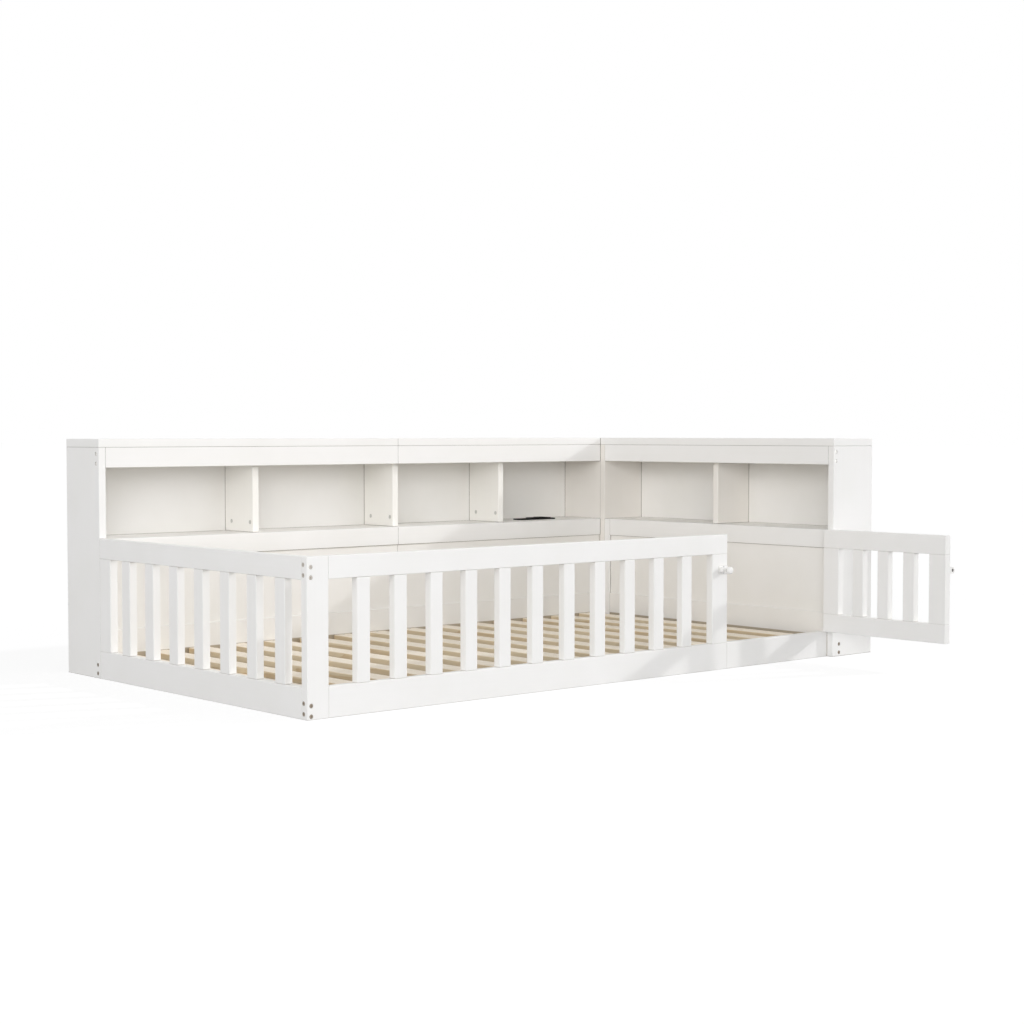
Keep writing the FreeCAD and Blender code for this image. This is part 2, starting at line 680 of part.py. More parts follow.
# Cam fittings: a disc in the divider's face tightens on a bolt that stands in the shelf below
def cam_fitting(divider, shelf, face_point, inward):
    disc = rod(face_point, inward, cam_radius, cam_depth)
    slot_end = along(face_point, inward, cam_slot_depth)
    slot_z = (face_point.z - cam_radius, face_point.z + cam_radius)
    slot_width = cam_slot_width / 2
    if abs(inward.x) > abs(inward.y):
        xs = sorted((face_point.x - inward.x * cut_overrun, slot_end.x))
        slot = block(xs, (face_point.y - slot_width, face_point.y + slot_width), slot_z)
    else:
        ys = sorted((face_point.y - inward.y * cut_overrun, slot_end.y))
        slot = block((face_point.x - slot_width, face_point.x + slot_width), ys, slot_z)
    add("cam_fittings", disc.cut(slot).Solids[0])
    core = along(face_point, inward, case_board / 2)
    bolt_foot = Vector(core.x, core.y, shelf_top - cam_bolt_seat)
    bolt_length = cam_bolt_seat + cam_rise - cam_radius - fit_clearance
    add("cam_fittings", rod(bolt_foot, Z_AXIS, cam_bolt_radius, bolt_length))
    disc_hole = rod(face_point, inward, cam_radius + cam_clearance, cam_depth + cam_clearance)
    bolt_hole = rod(bolt_foot, Z_AXIS, cam_bolt_radius + cam_clearance, bolt_length + cam_clearance)
    cut_node(divider, disc_hole, bolt_hole)
    cut_node(shelf, bolt_hole)


def cam_fittings():
    depth = panel_front_y - case_front_y - divider_setback
    left_middle = (case_board + module_length) / 2
    right_middle = (module_length + case_board + case_front_x) / 2
    faces = (("back_left_divider", "back_left_shelf", left_middle - case_board / 2),
             ("back_middle_upright", "back_right_shelf", module_length),
             ("back_right_divider", "back_right_shelf", right_middle - case_board / 2))
    height = shelf_top + cam_rise
    for divider, shelf, face_x in faces:
        for share in cam_shares:
            y = case_front_y + divider_setback + depth * share
            cam_fitting(divider, shelf, Vector(face_x, y, height), X_AXIS)
    side_face = rear_panel_front / 2 + case_board / 2
    for share in cam_shares:
        x = case_front_x + divider_setback + depth * share
        cam_fitting("side_divider", "side_shelf", Vector(x, side_face, height), -Y_AXIS)


def export():
    """Moves every node so that the origin is the middle of the part's box, on the floor."""
    centre = Vector(case_back_x / 2, (case_back_y + gate_free_edge) / 2, 0)
    os.makedirs("parts", exist_ok=True)
    for name, solids in nodes.items():
        shape = solids[0] if len(solids) == 1 else Part.makeCompound(solids)
        shape = shape.copy()
        shape.translate(-centre)
        shape.exportStep(os.path.join("parts", f"{name}.step"))
        print(name, len(solids), "solid" if len(solids) == 1 else "solids", shape.isValid())
    print("origin from the fence's front left corner", centre)


back_bookcase()
side_bookcase()
fence()
bed_base()
gate()
hinges()
latch()
power_unit()
bolted_joints()
cam_fittings()
export()
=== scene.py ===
# %% [markdown]
# This lesson dresses a white floor bed: a slatted fence with a gate, two bookcases that meet in a
# corner, and pine slats inside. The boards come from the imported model, already at their real size
# and place, so the work here is on finishes, small fittings, light and the camera.

import math

import bpy
import numpy as np
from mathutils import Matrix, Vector


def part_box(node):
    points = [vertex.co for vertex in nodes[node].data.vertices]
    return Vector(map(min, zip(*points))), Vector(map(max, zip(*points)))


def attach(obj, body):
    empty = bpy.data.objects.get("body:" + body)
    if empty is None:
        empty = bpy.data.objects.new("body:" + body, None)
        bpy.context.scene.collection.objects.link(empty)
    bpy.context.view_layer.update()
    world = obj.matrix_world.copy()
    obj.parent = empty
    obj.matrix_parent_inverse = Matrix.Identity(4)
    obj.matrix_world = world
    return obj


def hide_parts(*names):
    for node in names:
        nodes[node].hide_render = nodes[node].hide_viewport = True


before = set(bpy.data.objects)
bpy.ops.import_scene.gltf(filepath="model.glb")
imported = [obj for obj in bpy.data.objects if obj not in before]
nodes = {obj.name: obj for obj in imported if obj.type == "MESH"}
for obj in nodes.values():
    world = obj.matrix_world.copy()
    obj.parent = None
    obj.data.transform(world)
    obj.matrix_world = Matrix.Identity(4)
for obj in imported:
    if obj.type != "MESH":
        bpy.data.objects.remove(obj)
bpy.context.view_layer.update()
scene = bpy.context.scene
print("boards and fittings loaded:", len(nodes))

# %% [markdown]
# The camera stands where the photographer stood: a little above the bookcases, off the corner post,
# looking almost level. A long lens keeps the uprights parallel. The place is given in the frame's own
# metres, and the focal length in pixels becomes millimetres through the sensor's width.

# %% Camera
camera_place = (-3.6503, -4.06755, 0.7003)
camera_pitch = 87.552
camera_yaw = -41.186
focal_pixels = 1843.6
picture_pixels = 1024
sensor_width = 36.0
farthest_seen = 100.0


def add_to_scene(name, data):
    """A new object that holds the data, linked into the scene."""
    thing = bpy.data.objects.new(name, data)
    scene.collection.objects.link(thing)
    return thing


lens = bpy.data.cameras.new("photo_lens")
lens.sensor_width = sensor_width
lens.lens = focal_pixels * sensor_width / picture_pixels
lens.clip_end = farthest_seen
camera = add_to_scene("photo_camera", lens)
camera.location = camera_place
camera.rotation_euler = (math.radians(camera_pitch), 0.0, math.radians(camera_yaw))
scene.camera = camera
print("lens in millimetres:", round(lens.lens, 2))

# %% [markdown]
# A few helpers serve all the finishes. Colours are written as sRGB hex values, as a paint chart gives
# them, and the shader wants linear light, so one function converts. One adds a node, sets its
# properties and sockets, and links outputs of earlier nodes into it. The others start a material and
# give it to boards.

# %% Helpers for finishes
# places of the colour sockets on a Mix node
mix_factor, mix_a, mix_b, mix_result = 0, 6, 7, 2


def linear(hex_colour):
    """Linear RGBA from an sRGB hex colour, by the standard curve: a short line, then a power of 2.4."""
    steps = np.array([int(hex_colour[at:at + 2], 16) for at in (1, 3, 5)]) / 255
    light = np.where(steps <= 0.04045, steps / 12.92, ((steps + 0.055) / 1.055) ** 2.4)
    return (*light.tolist(), 1.0)


def add_node(tree, kind, settings=None, links=None):
    """Adds a node of a kind. Settings are properties or socket values, links are sockets to join."""
    node = tree.nodes.new(kind)
    for key, value in (settings or {}).items():
        if isinstance(key, str) and hasattr(node, key):
            setattr(node, key, value)
        else:
            node.inputs[key].default_value = value
    for key, socket in (links or {}).items():
        tree.links.new(socket, node.inputs[key])
    return node


def start_material(name, **sockets):
    """A material with its shader's even sockets set, its node tree, shader and Object coordinates."""
    material = bpy.data.materials.new(name)
    material.use_nodes = True
    tree = material.node_tree
    shader = tree.nodes["Principled BSDF"]
    for key, value in sockets.items():
        shader.inputs[key.replace("_", " ")].default_value = value
    where = add_node(tree, "ShaderNodeTexCoord").outputs["Object"]
    return material, tree, shader, where


def dress(material, *names):
    """Gives a material to CAD nodes, in every slot of theirs."""
    for name in names:
        for slot in nodes[name].material_slots:
            slot.material = material


print("middle grey in linear light:", round(linear("#808080")[0], 3))

# %% [markdown]
# Nearly everything is satin white lacquer over wood. Between two boards the seam reads as a thin dark
# line, partly the seam itself and partly painted shade: the shader looks a few millimetres around each
# point, and where other boards crowd in, in seams, corners and nooks alike, it mixes in a tone of
# painted shade. Below a given height that painted shade can be left out. The base boards reach down
# behind the slat ends, and there the shader paints a tan shade on their foot.

# %% Seams, painted nook shade and painted foot shade of lacquered boards
millimetre = 0.001
nook_tone_reach = 2.5 * millimetre
nook_samples = 8
# shares of open view around a point: painted nook shade begins at the first, is full at the second
open_view, closed_view = 0.92, 0.45
# painted shade on the base boards' foot: a tan band just above the slat tops
foot_shade = "#AA9A80"
foot_share = 0.85
foot_fade = 2 * millimetre


def with_painted_nook_tone(tree, where, colour, painted_nook_tone, reach, shade_above):
    """The colour with seam lines and painted nook shade mixed in where boards crowd round, above a
    height.
    """
    nook = add_node(tree, "ShaderNodeAmbientOcclusion", {"samples": nook_samples, "Distance": reach})
    crowd = add_node(tree, "ShaderNodeMapRange", {"From Min": open_view, "From Max": closed_view},
                     {"Value": nook.outputs["AO"]})
    if shade_above is not None:
        place = add_node(tree, "ShaderNodeSeparateXYZ", None, {"Vector": where})
        open_here = add_node(tree, "ShaderNodeMath", {"operation": "GREATER_THAN", 1: shade_above},
                             {0: place.outputs["Z"]})
        tree.links.new(open_here.outputs["Value"], crowd.inputs["To Max"])
    seam_and_shade = add_node(tree, "ShaderNodeMix", {"data_type": "RGBA", mix_b: linear(painted_nook_tone)},
                       {mix_factor: crowd.outputs["Result"], mix_a: colour})
    return seam_and_shade.outputs[mix_result]


def with_painted_foot_shade(tree, where, colour, foot_below):
    """The colour with the foot's shade mixed in below a height."""
    place = add_node(tree, "ShaderNodeSeparateXYZ", None, {"Vector": where})
    foot = add_node(tree, "ShaderNodeMapRange",
                    {"From Min": foot_below, "From Max": foot_below - foot_fade, "To Max": foot_share},
                    {"Value": place.outputs["Z"]})
    shaded = add_node(tree, "ShaderNodeMix", {"data_type": "RGBA", mix_b: linear(foot_shade)},
                      {mix_factor: foot.outputs["Result"], mix_a: colour})
    return shaded.outputs[mix_result]


print("joints show within millimetres:", nook_tone_reach / millimetre)

# %% [markdown]
# Sprayed lacquer shows a faint cloudiness where the coat is thicker, the orange peel that the spray
# leaves, and on solid boards the soft ridges of the grain below, along the board. The grain needs a
# direction, so the recipe takes the axis that a board runs along. Smooth sheet panels have none, and
# get broad soft clouds in its place.

# %% White lacquer
lacquer_index = 1.5
lacquer_roughness = (0.38, 0.5)
grain_width = 7 * millimetre
grain_length = 420 * millimetre
cloud_size = 180 * millimetre
# real orange peel is about 1 mm across; twice that still reads in a close view
peel_size = 2 * millimetre
grain_height = 0.02 * millimetre
peel_height = 0.008 * millimetre
# the grain's weight beside the clouds, and the sums of both at which the coat is full and thin
grain_share = 0.3
full_coat, thin_coat = 0.45, 0.85


def white_lacquer(name, whites, painted_nook_tone, grain_axis=None, shade_above=None, foot_below=None,
                  reach=nook_tone_reach):
    """Satin lacquer: the whites of full and thin coat mixed by cloud and grain noise, then seam lines and
    painted nook tone, any painted foot shade, a sheen that follows the clouds, and a bump that adds up
    the ridges of the grain and the peel."""
    material, tree, shader, where = start_material(name, IOR=lacquer_index)
    stretch = np.full(3, 1 / grain_width)
    if grain_axis is None:
        stretch[:] = 1 / cloud_size
    else:
        stretch[grain_axis] = 1 / grain_length
    along = add_node(tree, "ShaderNodeMapping", {"Scale": stretch}, {"Vector": where})
    grain = add_node(tree, "ShaderNodeTexNoise", {"Scale": 1.0, "Detail": 4.0},
                     {"Vector": along.outputs["Vector"]})
    cloud = add_node(tree, "ShaderNodeTexNoise", {"Scale": 1 / cloud_size, "Detail": 3.0},
                     {"Vector": where})
    peel = add_node(tree, "ShaderNodeTexNoise", {"Scale": 1 / peel_size, "Detail": 1.0},
                    {"Vector": where})
    coat = add_node(tree, "ShaderNodeMath", {"operation": "MULTIPLY_ADD", 1: grain_share},
                    {0: grain.outputs["Fac"], 2: cloud.outputs["Fac"]})
    thin = add_node(tree, "ShaderNodeMapRange", {"From Min": full_coat, "From Max": thin_coat},
                    {"Value": coat.outputs["Value"]})
    white = add_node(tree, "ShaderNodeMix",
                     {"data_type": "RGBA", mix_a: linear(whites[0]), mix_b: linear(whites[1])},
                     {mix_factor: thin.outputs["Result"]})
    colour = with_painted_nook_tone(tree, where, white.outputs[mix_result], painted_nook_tone, reach, shade_above)
    if foot_below is not None:
        colour = with_painted_foot_shade(tree, where, colour, foot_below)
    sheen = add_node(tree, "ShaderNodeMapRange",
                     {"To Min": lacquer_roughness[0], "To Max": lacquer_roughness[1]},
                     {"Value": cloud.outputs["Fac"]})
    ridges = add_node(tree, "ShaderNodeMath", {"operation": "MULTIPLY", 1: grain_height},
                      {0: grain.outputs["Fac"]})
    height = add_node(tree, "ShaderNodeMath", {"operation": "MULTIPLY_ADD", 1: peel_height},
                      {0: peel.outputs["Fac"], 2: ridges.outputs["Value"]})
    bump = add_node(tree, "ShaderNodeBump", {"Strength": 1.0, "Distance": 1.0},
                    {"Height": height.outputs["Value"]})
    tree.links.new(colour, shader.inputs["Base Color"])
    tree.links.new(sheen.outputs["Result"], shader.inputs["Roughness"])
    tree.links.new(bump.outputs["Normal"], shader.inputs["Normal"])
    return material


print("grain in millimetres:", grain_width / millimetre, "by", grain_length / millimetre)

# %% [markdown]
# The outside has one white. Panels, uprights, shelves and inner ends have lit or shaded copies of it,
# each given for a full and a thin coat: panels and base boards a warmer white and inner ends a warmer,
# darker one as painted shade, bay uprights and shelves a brighter one as painted light. In the
# bookcases the painted seam shade is dark, in the bays half as dark, and on the fence much fainter.
# Along the top of the base boards the nook gets a painted highlight instead, a thin line that is
# whiter than the boards.

# %% Lacquered boards
board_white = ("#F5F4F2", "#F2F1EE")
painted_warm_shade_white = ("#F5F3EF", "#F2F0EB")
painted_light_upright_white = ("#FAF8F3", "#F7F5EF")
painted_light_shelf_white = ("#FCFAF6", "#F9F7F2")
painted_shade_end_white = ("#F2EEE8", "#EFEBE4")
# painted shade in seams and nooks: dark in the bookcases, half as dark in the bays, faint on the fence
open_seam_painted_shade = "#6E675E"
bay_painted_shade = "#9A938A"
faint_seam_painted_shade = "#D4D1CB"
# painted highlight: white mixed in where boards crowd round the top of the base boards
painted_nook_highlight = "#FFFFFF"
x_axis, y_axis, z_axis = 0, 1, 2
# the wall panels get no painted nook shade below this height, just above the base boards
shade_free_rise = 20 * millimetre
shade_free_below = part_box("side_base_board")[1].z + shade_free_rise
foot_rise = 2 * millimetre
slat_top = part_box("bed_slats")[1].z
foot_line = slat_top + foot_rise

dress(white_lacquer("white_lacquer_lengthwise_boards", board_white, open_seam_painted_shade, x_axis),
      "back_left_top_board", "back_right_top_board", "back_left_apron", "back_right_apron",
      "back_left_shelf_rail", "back_right_shelf_rail")
dress(white_lacquer("white_lacquer_crosswise_boards", board_white, open_seam_painted_shade, y_axis),
      "side_top_board", "side_apron", "side_shelf_rail", "side_floor_stretcher")
dress(white_lacquer("white_lacquer_lengthwise_shelves", painted_light_shelf_white, bay_painted_shade, x_axis),
      "back_left_shelf", "back_right_shelf")
dress(white_lacquer("white_lacquer_crosswise_shelf", painted_light_shelf_white, bay_painted_shade, y_axis), "side_shelf")
dress(white_lacquer("white_lacquer_upright_boards", board_white, bay_painted_shade, z_axis),
      "back_left_end_panel", "side_front_end_panel", "corner_stile")
dress(white_lacquer("white_lacquer_inner_ends", painted_shade_end_white, bay_painted_shade, z_axis),
      "back_right_end_panel", "side_rear_end_panel", "side_divider")
dress(white_lacquer("white_lacquer_bay_uprights", painted_light_upright_white, bay_painted_shade, z_axis),
      "back_left_divider", "back_right_divider", "back_middle_upright", "leg_panels")
dress(white_lacquer("white_lacquer_lengthwise_rails", board_white, faint_seam_painted_shade, x_axis),
      "front_top_rail", "front_bottom_rail", "gate_sill_rail")
dress(white_lacquer("white_lacquer_crosswise_rails", board_white, faint_seam_painted_shade, y_axis),
      "left_top_rail", "left_bottom_rail", "gate_top_rail", "gate_bottom_rail")
# base boards: painted highlight in the nook along their top, painted tan shade at the foot
dress(white_lacquer("white_lacquer_base_boards", painted_warm_shade_white, painted_nook_highlight, foot_below=foot_line),
      "back_base_boards", "side_base_board")
dress(white_lacquer("white_lacquer_fence_uprights", board_white, faint_seam_painted_shade, z_axis),
      "corner_post", "front_end_post", "left_rear_stile", "front_fence_slats", "left_fence_slats",
      "gate_stiles", "gate_slats")
dress(white_lacquer("white_lacquer_wall_panels", painted_warm_shade_white, open_seam_painted_shade, shade_above=shade_free_below),
      "back_wall_panels", "side_wall_panel")
dress(white_lacquer("white_lacquer_back_panels", painted_warm_shade_white, bay_painted_shade),
      "back_panels", "side_back_panel")
print("kinds of white lacquer:", sum(m.name.startswith("white_lacquer") for m in bpy.data.materials))

# %% [markdown]
# The slats and the battens below them are planed pine with no finish. A slat is sawn along the trunk,
# so its face cuts through the growth rings. The rings are circles around the heart of the trunk, which
# lies somewhere below each slat, so the shader measures the distance to that heart and bends it with
# noise. The slat's number, found from its place, picks a new heart for each, and a heart that leans
# along the slat cuts the rings into long arches.

# %% Growth rings
ring_spacing = 5 * millimetre
ring_wander = 9 * millimetre
wander_width = 40 * millimetre
wander_length = 400 * millimetre
# how far hearts differ: metres across the slat, lean along it, metres below it
heart_spread = (0.12, 0.09, 0.05)
late_power = 3.0


def late_wood(tree, where, run_axis, across_axis, first_edge, pitch):
    """Late wood, 0 to 1: a power of the fraction that is left over when the distance to the heart line,
    bent by noise, is counted in ring spacings. The slat's number, counted in pitches, picks the heart."""
    part = add_node(tree, "ShaderNodeSeparateXYZ", None, {"Vector": where})
    places = [part.outputs[axis] for axis in "XYZ"]
    steps = add_node(tree, "ShaderNodeMath",
                     {"operation": "MULTIPLY_ADD", 1: 1 / pitch, 2: -first_edge / pitch},
                     {0: places[across_axis]})
    number = add_node(tree, "ShaderNodeMath", {"operation": "FLOOR"}, {0: steps.outputs["Value"]})
    seed = add_node(tree, "ShaderNodeTexWhiteNoise", {"noise_dimensions": "1D"},
                    {"W": number.outputs["Value"]})
    shift = add_node(tree, "ShaderNodeVectorMath", {"operation": "MULTIPLY", 1: heart_spread},
                     {0: seed.outputs["Color"]})
    inside = add_node(tree, "ShaderNodeMath", {"operation": "MULTIPLY", 1: pitch},
                      {0: number.outputs["Value"]})
    heart = add_node(tree, "ShaderNodeSeparateXYZ", None, {"Vector": shift.outputs["Vector"]})
    local = add_node(tree, "ShaderNodeMath", {"operation": "SUBTRACT"},
                     {0: places[across_axis], 1: inside.outputs["Value"]})
    beside = add_node(tree, "ShaderNodeMath", {"operation": "SUBTRACT"},
                      {0: local.outputs["Value"], 1: heart.outputs["X"]})
    lean = add_node(tree, "ShaderNodeMath", {"operation": "MULTIPLY_ADD"},
                    {0: places[run_axis], 1: heart.outputs["Y"], 2: heart.outputs["Z"]})
    below = add_node(tree, "ShaderNodeMath", {"operation": "ADD"},
                     {0: places[z_axis], 1: lean.outputs["Value"]})
    stretch = np.full(3, 1 / wander_width)
    stretch[run_axis] = 1 / wander_length
    slow = add_node(tree, "ShaderNodeMapping", {"Scale": stretch}, {"Vector": where})
    wander = add_node(tree, "ShaderNodeTexNoise",
                      {"noise_dimensions": "4D", "Scale": 1.0, "Detail": 2.0},
                      {"Vector": slow.outputs["Vector"], "W": number.outputs["Value"]})
    section = add_node(tree, "ShaderNodeCombineXYZ", None,
                       {"X": beside.outputs["Value"], "Y": below.outputs["Value"]})
    radius = add_node(tree, "ShaderNodeVectorMath", {"operation": "LENGTH"},
                      {0: section.outputs["Vector"]})
    bent = add_node(tree, "ShaderNodeMath", {"operation": "MULTIPLY_ADD", 1: ring_wander},
                    {0: wander.outputs["Fac"], 2: radius.outputs["Value"]})
    count = add_node(tree, "ShaderNodeMath", {"operation": "MULTIPLY", 1: 1 / ring_spacing},
                     {0: bent.outputs["Value"]})
    ring = add_node(tree, "ShaderNodeMath", {"operation": "FRACT"}, {0: count.outputs["Value"]})
    late = add_node(tree, "ShaderNodeMath", {"operation": "POWER", 1: late_power},
                    {0: ring.outputs["Value"]})
    return late.outputs["Value"]


print("rings in millimetres:", ring_spacing / millimetre)

# %% [markdown]
# Early wood is pale, and late wood makes thin darker lines in it. Fine fibres run along the slat and
# are felt as well as seen. Faces that don't point up get painted shade, a darker and browner tone,
# which is what makes the slats stand out from their gaps.

# %% Planed pine
pine_index = 1.5
pine_early = linear("#FDF5E7")
pine_late = linear("#ECD9BE")
# painted shade, multiplied into faces that don't point up
painted_side_shade = linear("#EBE2CF")
early_roughness, late_roughness = 0.62, 0.5
fibre_width = 0.8 * millimetre
fibre_length = 60 * millimetre
fibre_height = 0.1 * millimetre
fibre_bump = 0.6
# the fibres' weight beside the rings, and the sums of both that are wholly early and late wood
fibre_share = 0.35
early_tone, late_tone = 0.05, 1.25
# upward part of a face's direction: no painted shade above the first, full painted side shade below the
# second
unshaded_face, side_shaded_face = 0.9, 0.5


def planed_pine(name, run_axis, across_axis, first_edge, pitch):
    """Pine: early and late wood mixed by rings and fibre noise, times painted shade on the sides."""
    material, tree, shader, where = start_material(name, IOR=pine_index)
    late = late_wood(tree, where, run_axis, across_axis, first_edge, pitch)
    fine = np.full(3, 1 / fibre_width)
    fine[run_axis] = 1 / fibre_length
    strands = add_node(tree, "ShaderNodeMapping", {"Scale": fine}, {"Vector": where})
    fibre = add_node(tree, "ShaderNodeTexNoise", {"Scale": 1.0, "Detail": 2.0},
                     {"Vector": strands.outputs["Vector"]})
    tone = add_node(tree, "ShaderNodeMath", {"operation": "MULTIPLY_ADD", 1: fibre_share},
                    {0: fibre.outputs["Fac"], 2: late})
    share = add_node(tree, "ShaderNodeMapRange", {"From Min": early_tone, "From Max": late_tone},
                     {"Value": tone.outputs["Value"]})
    colour = add_node(tree, "ShaderNodeMix",
                      {"data_type": "RGBA", mix_a: pine_early, mix_b: pine_late},
                      {mix_factor: share.outputs["Result"]})
    facing = add_node(tree, "ShaderNodeNewGeometry")
    upward = add_node(tree, "ShaderNodeSeparateXYZ", None, {"Vector": facing.outputs["Normal"]})
    side_shade_share = add_node(tree, "ShaderNodeMapRange", {"From Min": unshaded_face, "From Max": side_shaded_face},
                    {"Value": upward.outputs["Z"]})
    side_shaded = add_node(tree, "ShaderNodeMix",
                   {"data_type": "RGBA", "blend_type": "MULTIPLY", mix_b: painted_side_shade},
                   {mix_factor: side_shade_share.outputs["Result"], mix_a: colour.outputs[mix_result]})
    rough = add_node(tree, "ShaderNodeMapRange", {"To Min": early_roughness, "To Max": late_roughness},
                     {"Value": late})
    bump = add_node(tree, "ShaderNodeBump", {"Strength": fibre_bump, "Distance": fibre_height},
                    {"Height": fibre.outputs["Fac"]})
    tree.links.new(side_shaded.outputs[mix_result], shader.inputs["Base Color"])
    tree.links.new(rough.outputs["Result"], shader.inputs["Roughness"])
    tree.links.new(bump.outputs["Normal"], shader.inputs["Normal"])
    return material


print("fibres in millimetres:", fibre_width / millimetre, "by", fibre_length / millimetre)

# %% [markdown]
# The slats lie side by side at one pitch, with the same gap between all of them. Half a gap before the
# first slat is where its number begins. The three battens below run the other way and are told apart
# by thirds of the bed's width.

# %% Slats and battens
slats_low, slats_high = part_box("bed_slats")
slat_count = 15
slat_width = 62 * millimetre
slat_pitch = (slats_high.x - slats_low.x - slat_width) / (slat_count - 1)
slat_gap = slat_pitch - slat_width
dress(planed_pine("planed_pine_slats", y_axis, x_axis, slats_low.x - slat_gap / 2, slat_pitch),
      "bed_slats")
ledgers_low, ledgers_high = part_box("slat_ledgers")
batten_count = 3
batten_pitch = (ledgers_high.y - ledgers_low.y) / batten_count
dress(planed_pine("planed_pine_battens", x_axis, y_axis, ledgers_low.y, batten_pitch),
      "slat_ledgers", "centre_support")
print("slat pitch in millimetres:", round(slat_pitch / millimetre, 1))

# %% [markdown]
# The fittings are bought parts in a few finishes. One recipe fits most of them: two close colours
# mixed by noise of the right size, and the same noise in roughness and bump.

# %% Recipe for bought parts
def mottled(name, colours, roughness, spot_size, spot_height, high_up=None, **sockets):
    """A bought part's finish: two colours, two roughnesses and a bump that follow one noise.

    A colour and two heights in high_up turn the finish to that colour from the first to the second."""
    material, tree, shader, where = start_material(name, **sockets)
    spots = add_node(tree, "ShaderNodeTexNoise", {"Scale": 1 / spot_size, "Detail": 3.0},
                     {"Vector": where})
    mixed = add_node(tree, "ShaderNodeMix",
                     {"data_type": "RGBA", mix_a: linear(colours[0]), mix_b: linear(colours[1])},
                     {mix_factor: spots.outputs["Fac"]})
    colour = mixed.outputs[mix_result]
    if high_up is not None:
        high_colour, turns_from, turned_at = high_up
        place = add_node(tree, "ShaderNodeSeparateXYZ", None, {"Vector": where})
        risen = add_node(tree, "ShaderNodeMapRange", {"From Min": turns_from, "From Max": turned_at},
                         {"Value": place.outputs["Z"]})
        turned = add_node(tree, "ShaderNodeMix", {"data_type": "RGBA", mix_b: linear(high_colour)},
                          {mix_factor: risen.outputs["Result"], mix_a: colour})
        colour = turned.outputs[mix_result]
    rough = add_node(tree, "ShaderNodeMapRange", {"To Min": roughness[0], "To Max": roughness[1]},
                     {"Value": spots.outputs["Fac"]})
    bump = add_node(tree, "ShaderNodeBump", {"Strength": 1.0, "Distance": spot_height},
                    {"Height": spots.outputs["Fac"]})
    tree.links.new(colour, shader.inputs["Base Color"])
    tree.links.new(rough.outputs["Result"], shader.inputs["Roughness"])
    tree.links.new(bump.outputs["Normal"], shader.inputs["Normal"])
    return material


print("recipe for bought parts ready, after", len(bpy.data.materials), "materials")

# %% [markdown]
# Bolts and barrel nuts are steel with a bronze-toned plating, screws, hinges and cams have zinc, and
# the power unit is moulded in black plastic with a fine spark-eroded texture. The latch is coated white
# like the boards.

# %% Fittings
# plating over steel: cloudy, half-gloss; browner low down and pale high up: painted shade and light
painted_dark_until, painted_pale_from = 0.2, 0.62
bronze_plated_steel = mottled(
    "bronze_plated_steel", colours=("#998D7F", "#A99F92"), roughness=(0.36, 0.52),
    spot_size=3 * millimetre, spot_height=0.01 * millimetre,
    high_up=("#EFEEEB", painted_dark_until, painted_pale_from), Metallic=1.0)
# bright zinc: pale grey with a slight blue cast and soft cloudy spangle
zinc_plated_steel = mottled(
    "zinc_plated_steel", colours=("#B4B6B8", "#C9CACB"), roughness=(0.3, 0.46),
    spot_size=2 * millimetre, spot_height=0.01 * millimetre, Metallic=1.0)
# die-cast zinc of the cams: pale and dull, as it leaves the mould
cast_zinc = mottled(
    "cast_zinc", colours=("#D6D5D2", "#DFDEDB"), roughness=(0.55, 0.7),
    spot_size=2 * millimetre, spot_height=0.02 * millimetre, Metallic=1.0)
# the latch is coated like the boards; on the keeper, painted shade darkens the eye and its nooks
painted_eye_shade = "#4A4640"
eye_shade_reach = 9 * millimetre
white_powder_coat = white_lacquer("white_powder_coat", board_white, faint_seam_painted_shade)
painted_eye_shade_coat = white_lacquer("white_coat_with_painted_eye_shade", board_white, painted_eye_shade, reach=eye_shade_reach)
# moulded plastic: near-black, dull where the mould was spark-eroded
plastic_index = 1.54
black_moulded_plastic = mottled(
    "black_moulded_plastic", colours=("#0C0C0C", "#131313"), roughness=(0.6, 0.75),
    spot_size=0.6 * millimetre, spot_height=0.02 * millimetre,
    IOR=plastic_index, Specular_IOR_Level=0.2)
# the small proud module is a smoother, greyer moulding that catches the light
graphite_plastic = mottled(
    "graphite_plastic", colours=("#2A2A2A", "#333333"), roughness=(0.3, 0.42),
    spot_size=0.6 * millimetre, spot_height=0.01 * millimetre, IOR=plastic_index)
dress(bronze_plated_steel, "barrel_nuts")
dress(cast_zinc, "cam_fittings")
dress(zinc_plated_steel, "hinge_fixed_leaves", "hinge_gate_leaves", "hinge_pins")
dress(white_powder_coat, "latch_plate")
dress(painted_eye_shade_coat, "latch_keeper")
dress(black_moulded_plastic, "power_unit_body", "power_socket_insert")
dress(graphite_plastic, "power_usb_module")
print("materials in all:", len(bpy.data.materials))

# %% [markdown]
# Bolts and screws get finer shapes than the solids have, so each one's place is needed first. The
# solids tell: corners that edges join belong to one fastener, its longest side is its axis, and its
# widest corner is at the head.

# %% Places of fasteners
# corners that agree to this many digits of a metre are one
weld_digits = 6


def corner_points(name):
    """All corners of a CAD node's mesh, one row each."""
    mesh = nodes[name].data
    points = np.empty(3 * len(mesh.vertices))
    mesh.vertices.foreach_get("co", points)
    return points.reshape(-1, 3)


